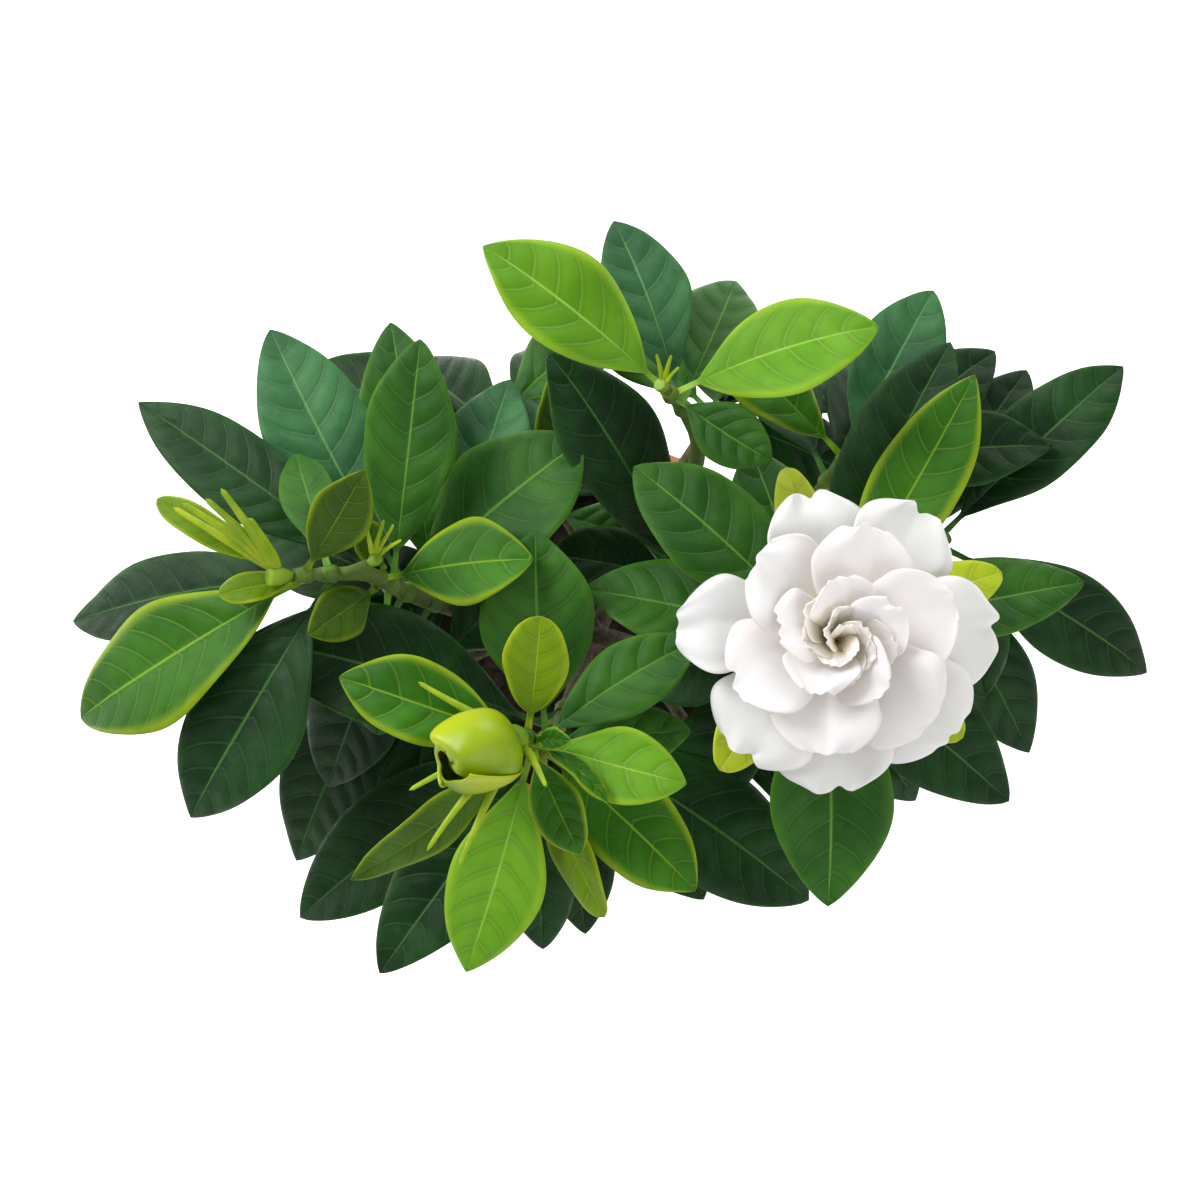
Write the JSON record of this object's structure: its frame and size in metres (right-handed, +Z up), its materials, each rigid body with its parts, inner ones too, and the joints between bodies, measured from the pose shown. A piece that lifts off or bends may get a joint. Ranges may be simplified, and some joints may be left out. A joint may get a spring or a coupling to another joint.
{
  "type": "potted gardenia",
  "caption": "Bushy gardenia in a plain tapered clay pot, with glossy ribbed leaves, an open double white flower and green buds.",
  "frame": {"origin": "centre of the pot's underside, on the surface it stands on", "axes": "+Z up, +X to the right as the flower is seen from the front, +Y to the back"},
  "size_m": [0.369, 0.2516, 0.3281],
  "materials": {
    "terracotta": "unglazed matt clay with pale mineral bloom",
    "potting_soil": "loose dark bark compost",
    "bark": "matt grey-brown bark, green towards the tips",
    "mature_leaf": "glossy deep green, sunk side veins",
    "young_leaf": "glossy light green with yellow-green margin",
    "bud_green": "satin yellow-green",
    "petal": "soft waxy white",
    "flower_heart": "cream and honey yellow"
  },
  "bodies": {
    "root": {"back_bud": "bud_green", "back_leaves_1": "young_leaf", "back_leaves_2": "mature_leaf", "centre_leaves": "mature_leaf", "flower_calyx": "bud_green", "flower_heart": "flower_heart", "flower_leaves_1": "young_leaf", "flower_leaves_2": "mature_leaf", "flower_leaves_3": "mature_leaf", "flower_leaves_4": "mature_leaf", "flower_leaves_5": "mature_leaf", "flower_tube": "petal", "front_bud": "bud_green", "front_bud_calyx": "bud_green", "front_leaves_1": "young_leaf", "front_leaves_2": "young_leaf", "front_leaves_3": "mature_leaf", "front_leaves_4": "mature_leaf", "front_leaves_5": "mature_leaf", "front_leaves_6": "mature_leaf", "front_leaves_7": "mature_leaf", "front_right_leaves": "mature_leaf", "inner_leaves": "mature_leaf", "inner_petal_1": "petal", "inner_petal_2": "petal", "inner_petal_3": "petal", "inner_petal_4": "petal", "inner_petal_5": "petal", "left_bud": "bud_green", "left_front_leaves": "mature_leaf", "left_leaves_1": "mature_leaf", "left_leaves_2": "mature_leaf", "left_leaves_3": "young_leaf", "left_leaves_4": "mature_leaf", "left_leaves_5": "mature_leaf", "left_leaves_6": "mature_leaf", "mid_bud": "bud_green", "middle_petal_1": "petal", "middle_petal_2": "petal", "middle_petal_3": "petal", "middle_petal_4": "petal", "middle_petal_5": "petal", "middle_petal_6": "petal", "outer_petal_1": "petal", "outer_petal_2": "petal", "outer_petal_3": "petal", "outer_petal_4": "petal", "outer_petal_5": "petal", "outer_petal_6": "petal", "outer_petal_7": "petal", "pot": "terracotta", "rear_left_leaves_1": "mature_leaf", "rear_left_leaves_2": "mature_leaf", "rear_mid_leaves": "mature_leaf", "rear_right_leaves_1": "mature_leaf", "rear_right_leaves_2": "mature_leaf", "right_leaves_1": "mature_leaf", "right_leaves_2": "mature_leaf", "soil": "potting_soil", "stems": "bark"}
  },
  "joints": []
}
